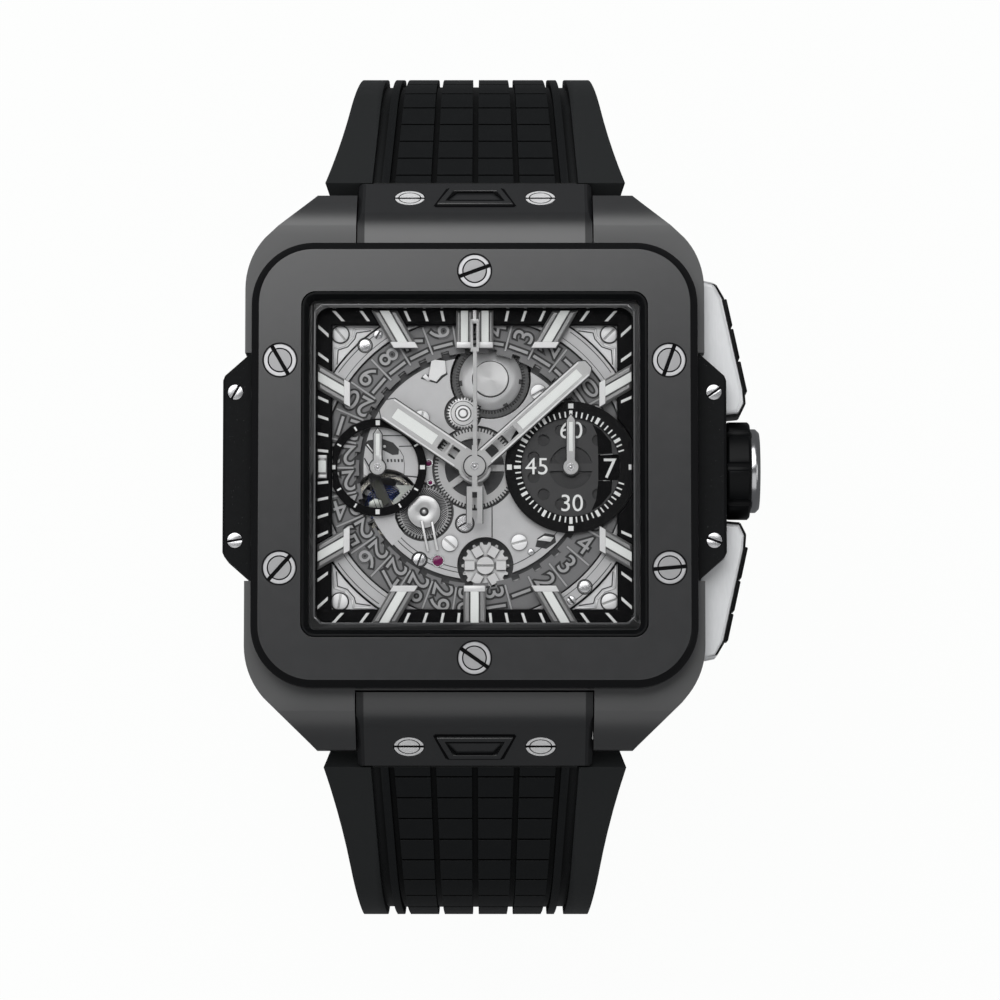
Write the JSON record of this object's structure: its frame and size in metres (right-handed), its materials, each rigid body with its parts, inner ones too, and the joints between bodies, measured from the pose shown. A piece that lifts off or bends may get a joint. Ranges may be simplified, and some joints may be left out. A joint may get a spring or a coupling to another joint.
{
  "type": "wristwatch",
  "caption": "Square skeleton stopwatch wristwatch on a grooved rubber strap with a folding clasp, closed and standing on the clasp.",
  "frame": {"origin": "on the clasp's flat outer face, under the middle of the dial", "axes": "+X towards 3 o'clock and the crown, +Y towards 12 o'clock, +Z out of the dial"},
  "size_m": [0.0496, 0.0811, 0.062],
  "materials": {
    "case_steel": "fine satin grey",
    "bezel_steel": "satin grey with bright chamfer",
    "insert_black": "black satin coating",
    "screw_steel": "polished",
    "crystal": "clear sapphire",
    "seal_rubber": "matt black",
    "crown_steel": "polished edge and satin face",
    "pusher_metal": "light satin",
    "button_steel": "satin",
    "strap_rubber": "matt black with a soft sheen",
    "clasp_steel": "satin",
    "dial_black": "matt black",
    "marker_steel": "white luminous fill in dark frames",
    "date_black": "matt silver grey",
    "hand_steel": "satin silver with luminous slots",
    "plate_dark": "fine satin silver grey",
    "wheel_steel": "polished",
    "balance_brass": "polished",
    "rotor_steel": "satin"
  },
  "bodies": {
    "root": {"middle_case": "case_steel", "bezel": "bezel_steel", "bezel_screws": "screw_steel", "crystal_gasket": "seal_rubber", "front_crystal": "crystal", "side_insert_left": "insert_black", "side_insert_right": "insert_black", "insert_screws": "screw_steel", "crown_tube": "screw_steel", "pusher_springs": "screw_steel", "end_link_upper": "case_steel", "end_link_lower": "case_steel", "end_link_screws": "screw_steel", "strap_upper": "strap_rubber", "strap_lower": "strap_rubber", "clasp_cover": "clasp_steel", "strap_pins": "screw_steel", "case_back": "case_steel", "back_crystal": "crystal", "case_seal": "seal_rubber", "back_screws": "screw_steel", "dial_ring": "dial_black", "corner_brackets": "dial_black", "movement_holder": "dial_black", "hour_markers": "marker_steel", "seconds_ring": "dial_black", "counter_dial": "dial_black", "main_plate": "plate_dark", "dial_bridge": "plate_dark", "balance_cock": "plate_dark", "train_bridge": "plate_dark", "movement_screws": "screw_steel", "hairspring": "balance_brass"},
    "crown_pull": {"crown_gasket": "seal_rubber"},
    "crown": {"crown_core": "crown_steel", "crown_grip": "seal_rubber", "winding_stem": "screw_steel"},
    "pusher_upper": {"pusher_upper": "pusher_metal"},
    "pusher_lower": {"pusher_lower": "pusher_metal"},
    "release_upper": {"release_button_upper": "button_steel"},
    "release_lower": {"release_button_lower": "button_steel"},
    "clasp_blade": {"clasp_blade": "clasp_steel"},
    "clasp_button_right": {"clasp_button_right": "button_steel"},
    "clasp_button_left": {"clasp_button_left": "button_steel"},
    "minute_hand": {"minute_hand": "hand_steel"},
    "hour_hand": {"hour_hand": "hand_steel"},
    "date_drive_wheel": {"date_drive_wheel": "wheel_steel"},
    "minute_wheel": {"minute_wheel": "wheel_steel"},
    "seconds_hand": {"seconds_hand": "hand_steel"},
    "third_wheel": {"third_wheel": "wheel_steel"},
    "second_wheel": {"second_wheel": "wheel_steel"},
    "barrel": {"barrel": "wheel_steel"},
    "escape_wheel": {"escape_wheel": "wheel_steel"},
    "pallet_fork": {"pallet_fork": "wheel_steel"},
    "balance": {"balance": "balance_brass"},
    "chrono_hand": {"chrono_hand": "hand_steel"},
    "counter_hand": {"counter_hand": "hand_steel"},
    "date_disc": {"date_disc": "date_black"},
    "column_wheel": {"column_wheel": "wheel_steel"},
    "rotor": {"rotor": "rotor_steel"}
  },
  "joints": [
    {"name": "crown_pull", "type": "slide", "parent": "root", "child": "crown_pull", "axis": [1, 0, 0], "range_m": [0, 0.0012]},
    {"name": "crown_turn", "type": "hinge", "parent": "crown_pull", "child": "crown", "pos_m": [0.024, 0, 0.0546], "axis": [1, 0, 0], "continuous": true},
    {"name": "pusher_upper_press", "type": "slide", "parent": "root", "child": "pusher_upper", "axis": [-1, 0, 0], "range_m": [0, 0.0008], "stiffness_N_per_m": 800, "deforming": ["pusher_springs"]},
    {"name": "pusher_lower_press", "type": "slide", "parent": "root", "child": "pusher_lower", "axis": [-1, 0, 0], "range_m": [0, 0.0008], "stiffness_N_per_m": 800, "deforming": ["pusher_springs"]},
    {"name": "release_upper_press", "type": "slide", "parent": "root", "child": "release_upper", "axis": [0, -0.7843, -0.6204], "range_m": [0, 0.0005], "stiffness_N_per_m": 600},
    {"name": "release_lower_press", "type": "slide", "parent": "root", "child": "release_lower", "axis": [0, 0.7843, -0.6204], "range_m": [0, 0.0005], "stiffness_N_per_m": 600},
    {"name": "clasp_open", "type": "hinge", "parent": "root", "child": "clasp_blade", "pos_m": [0, -0.013, 0.0052], "axis": [1, 0, 0], "range_deg": [0, 100]},
    {"name": "clasp_button_right_press", "type": "slide", "parent": "root", "child": "clasp_button_right", "axis": [-1, 0, 0], "range_m": [0, 0.0006], "stiffness_N_per_m": 500},
    {"name": "clasp_button_left_press", "type": "slide", "parent": "root", "child": "clasp_button_left", "axis": [1, 0, 0], "range_m": [0, 0.0006], "stiffness_N_per_m": 500},
    {"name": "minute_turn", "type": "hinge", "parent": "root", "child": "minute_hand", "pos_m": [0, 0, 0.055], "axis": [0, 0, -1], "continuous": true},
    {"name": "hour_turn", "type": "hinge", "parent": "root", "child": "hour_hand", "pos_m": [0, 0, 0.055], "axis": [0, 0, -1], "continuous": true},
    {"name": "date_drive_turn", "type": "hinge", "parent": "root", "child": "date_drive_wheel", "pos_m": [-0.00468, -0.00407, 0.055], "axis": [0, 0, -1], "continuous": true},
    {"name": "minute_wheel_turn", "type": "hinge", "parent": "root", "child": "minute_wheel", "pos_m": [-0.00108, 0.00509, 0.055], "axis": [0, 0, -1], "continuous": true},
    {"name": "seconds_turn", "type": "hinge", "parent": "root", "child": "seconds_hand", "pos_m": [-0.00895, 0, 0.055], "axis": [0, 0, -1], "continuous": true},
    {"name": "third_turn", "type": "hinge", "parent": "root", "child": "third_wheel", "pos_m": [-0.00526, 0.00211, 0.055], "axis": [0, 0, -1], "continuous": true},
    {"name": "second_turn", "type": "hinge", "parent": "root", "child": "second_wheel", "pos_m": [-0.00183, 0.00568, 0.055], "axis": [0, 0, -1], "continuous": true},
    {"name": "barrel_turn", "type": "hinge", "parent": "root", "child": "barrel", "pos_m": [0.00145, 0.0083, 0.055], "axis": [0, 0, -1], "continuous": true},
    {"name": "escape_turn", "type": "hinge", "parent": "root", "child": "escape_wheel", "pos_m": [-0.01138, -0.00124, 0.055], "axis": [0, 0, -1], "continuous": true},
    {"name": "fork_swing", "type": "hinge", "parent": "root", "child": "pallet_fork", "pos_m": [-0.00979, -0.00222, 0.055], "axis": [0, 0, -1], "range_deg": [-5, 5]},
    {"name": "balance_swing", "type": "hinge", "parent": "root", "child": "balance", "pos_m": [-0.0082, -0.0032, 0.055], "axis": [0, 0, -1], "range_deg": [-270, 270], "stiffness_Nm_per_rad": 0.0000002, "deforming": ["hairspring"]},
    {"name": "chrono_turn", "type": "hinge", "parent": "root", "child": "chrono_hand", "pos_m": [0, 0, 0.055], "axis": [0, 0, -1], "continuous": true},
    {"name": "counter_turn", "type": "hinge", "parent": "root", "child": "counter_hand", "pos_m": [0.00887, 0, 0.055], "axis": [0, 0, -1], "continuous": true},
    {"name": "date_turn", "type": "hinge", "parent": "root", "child": "date_disc", "pos_m": [0, 0, 0.055], "axis": [0, 0, -1], "continuous": true},
    {"name": "column_turn", "type": "hinge", "parent": "root", "child": "column_wheel", "pos_m": [0.00098, -0.009, 0.055], "axis": [0, 0, -1], "continuous": true},
    {"name": "rotor_turn", "type": "hinge", "parent": "root", "child": "rotor", "pos_m": [0, 0, 0.055], "axis": [0, 0, -1], "continuous": true}
  ],
  "couplings": [
    {"joint": "hour_turn", "follows": "minute_turn", "ratio": 0.083333},
    {"joint": "date_drive_turn", "follows": "minute_turn", "ratio": -0.12333},
    {"joint": "minute_wheel_turn", "follows": "minute_turn", "ratio": -0.20556},
    {"joint": "third_turn", "follows": "seconds_turn", "ratio": -0.13333},
    {"joint": "second_turn", "follows": "seconds_turn", "ratio": 0.016667},
    {"joint": "barrel_turn", "follows": "seconds_turn", "ratio": -0.0027778},
    {"joint": "escape_turn", "follows": "seconds_turn", "ratio": -12},
    {"joint": "counter_turn", "follows": "chrono_turn", "ratio": 0.016667}
  ]
}
